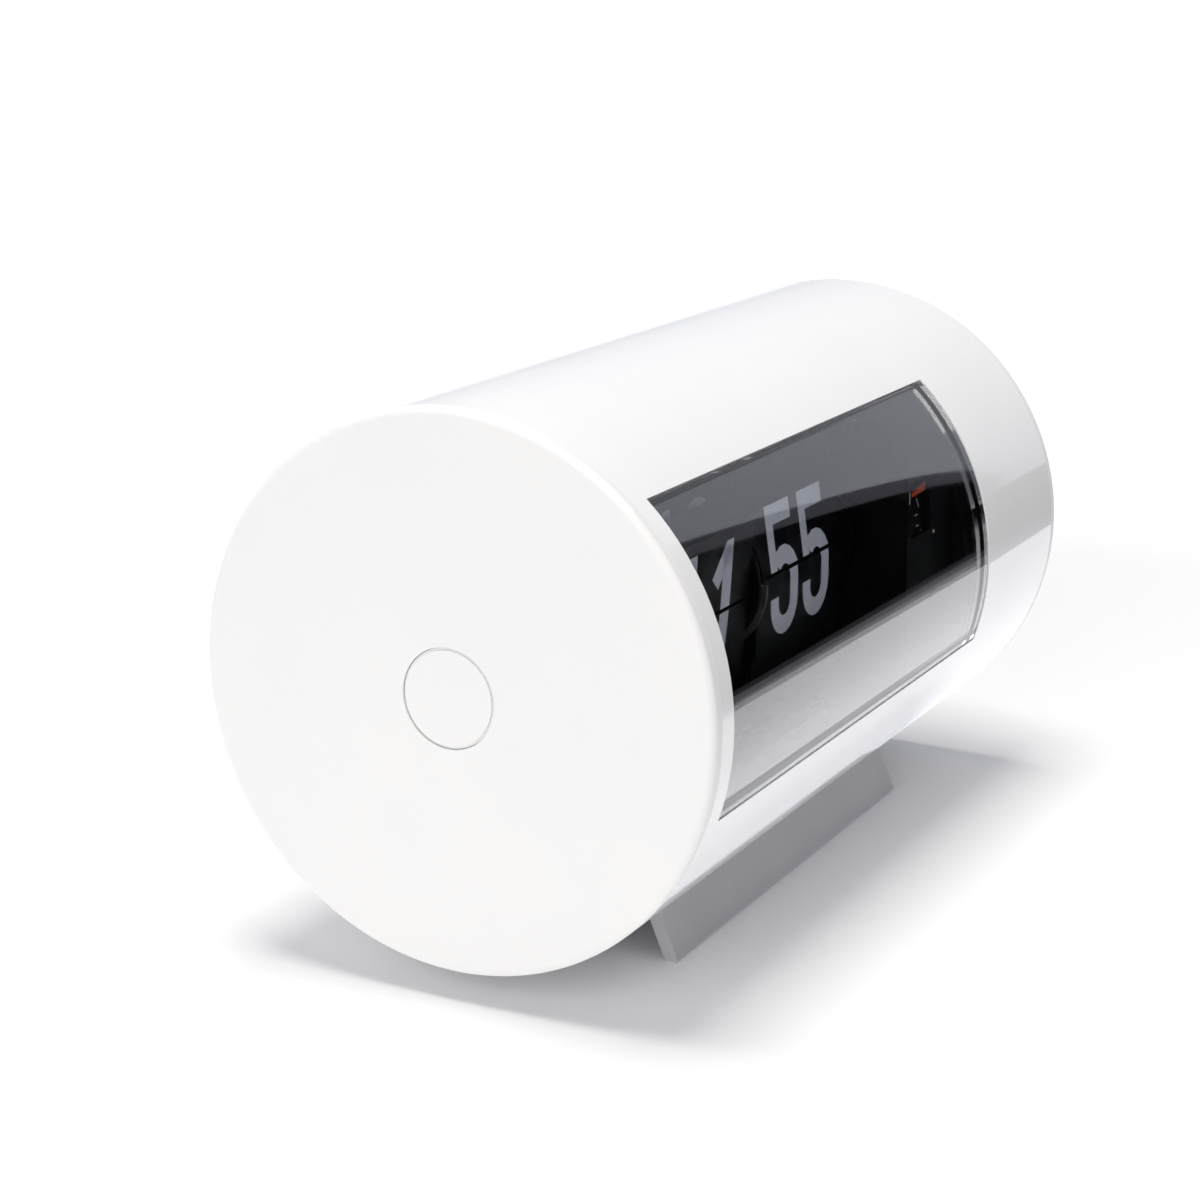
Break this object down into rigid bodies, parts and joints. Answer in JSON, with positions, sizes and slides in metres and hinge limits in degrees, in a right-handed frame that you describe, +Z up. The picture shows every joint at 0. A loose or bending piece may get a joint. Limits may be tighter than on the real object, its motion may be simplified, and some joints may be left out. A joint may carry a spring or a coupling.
{
  "type": "flip clock",
  "caption": "Tube-shaped battery desk flip clock with a curved clear window, split hour and minute leaves, an alarm drum and a push button in one end.",
  "frame": {"origin": "on the desk, under the middle of the clock", "axes": "+X along the tube from the push button end to the knob end, display faces -Y, +Z up"},
  "size_m": [0.16, 0.092, 0.097],
  "materials": {
    "case_gloss_white": "polished moulded ABS",
    "cap_satin_white": "fine satin moulded ABS",
    "clear_acrylic": "clear polished acrylic",
    "foot_white": "moulded ABS",
    "zinc_steel": "zinc plated steel",
    "motor_steel": "drawn steel can",
    "nickel_plate": "nickel plated spring strip",
    "black_abs": "matt black moulded ABS",
    "drum_black": "matt black moulding",
    "leaf_black": "matt printed film",
    "natural_nylon": "natural moulded nylon",
    "smoked_nylon": "smoked moulded nylon",
    "knob_grey": "satin moulded ABS",
    "orange_plastic": "orange moulding",
    "green_laminate": "solder mask on glass laminate",
    "cell_sleeve": "printed sleeve on a steel can"
  },
  "bodies": {
    "case": {"body_tube": "case_gloss_white", "left_cap": "cap_satin_white", "right_cap": "cap_satin_white", "window_lens": "clear_acrylic", "foot": "foot_white", "foot_screws": "zinc_steel", "button_switch": "black_abs", "left_plate": "black_abs", "middle_plate": "black_abs", "right_plate": "black_abs", "tie_rods": "zinc_steel", "frame_screws": "zinc_steel", "upper_shroud": "black_abs", "lower_shroud": "black_abs", "leaf_guide": "smoked_nylon", "scale_mask": "black_abs", "alarm_pointer": "orange_plastic", "motor": "motor_steel", "circuit_board": "green_laminate", "board_parts": "black_abs", "buzzer": "black_abs", "battery_cell": "cell_sleeve", "battery_cradle": "black_abs", "battery_contacts": "nickel_plate"},
    "minute_drum": {"main_shaft": "zinc_steel", "minute_drum": "drum_black", "minute_leaves": "leaf_black", "minute_wheel": "natural_nylon", "time_knob": "knob_grey"},
    "minute_flip": {"minute_flip_leaf": "leaf_black"},
    "hour_drum": {"hour_drum": "drum_black", "hour_leaves": "leaf_black"},
    "hour_flip": {"hour_flip_leaf": "leaf_black"},
    "intermediate": {"intermediate_arbor": "zinc_steel", "intermediate_pinion": "natural_nylon", "intermediate_wheel": "natural_nylon"},
    "motor_pinion": {"motor_pinion": "natural_nylon"},
    "alarm_drum": {"alarm_drum": "drum_black", "alarm_wheel": "natural_nylon"},
    "alarm_knob": {"alarm_shaft": "zinc_steel", "alarm_pinion": "natural_nylon", "alarm_knob": "knob_grey"},
    "button": {"alarm_button": "cap_satin_white"},
    "door": {"battery_door": "case_gloss_white"}
  },
  "joints": [
    {"name": "minute_drum_spin", "type": "hinge", "parent": "case", "child": "minute_drum", "pos_m": [0, -0.0135, 0.058], "axis": [1, 0, 0], "continuous": true},
    {"name": "minute_leaf_flip", "type": "hinge", "parent": "minute_drum", "child": "minute_flip", "pos_m": [0, -0.024, 0.05827], "axis": [1, 0, 0], "range_deg": [0, 185]},
    {"name": "hour_drum_spin", "type": "hinge", "parent": "case", "child": "hour_drum", "pos_m": [0, -0.0135, 0.058], "axis": [1, 0, 0], "continuous": true},
    {"name": "hour_leaf_flip", "type": "hinge", "parent": "hour_drum", "child": "hour_flip", "pos_m": [0, -0.02394, 0.05692], "axis": [1, 0, 0], "range_deg": [0, 179]},
    {"name": "intermediate_spin", "type": "hinge", "parent": "case", "child": "intermediate", "pos_m": [0, 0.00798, 0.0704], "axis": [1, 0, 0], "continuous": true},
    {"name": "motor_spin", "type": "hinge", "parent": "case", "child": "motor_pinion", "pos_m": [0, 0.01878, 0.05169], "axis": [1, 0, 0], "continuous": true},
    {"name": "alarm_drum_spin", "type": "hinge", "parent": "case", "child": "alarm_drum", "pos_m": [0, -0.0135, 0.058], "axis": [1, 0, 0], "continuous": true},
    {"name": "alarm_knob_spin", "type": "hinge", "parent": "case", "child": "alarm_knob", "pos_m": [0, -0.0011, 0.03652], "axis": [1, 0, 0], "continuous": true},
    {"name": "button_press", "type": "slide", "parent": "case", "child": "button", "axis": [1, 0, 0], "range_m": [0, 0.001], "stiffness_N_per_m": 300, "springref_m": -0.0015},
    {"name": "battery_door_slide", "type": "slide", "parent": "case", "child": "door", "axis": [0, 1, 0], "range_m": [0, 0.05]}
  ],
  "couplings": [
    {"joint": "hour_drum_spin", "follows": "minute_drum_spin", "ratio": 0.041667},
    {"joint": "intermediate_spin", "follows": "minute_drum_spin", "ratio": -3.4286},
    {"joint": "motor_spin", "follows": "minute_drum_spin", "ratio": 9.7959},
    {"joint": "alarm_knob_spin", "follows": "alarm_drum_spin", "ratio": -3.4286}
  ]
}
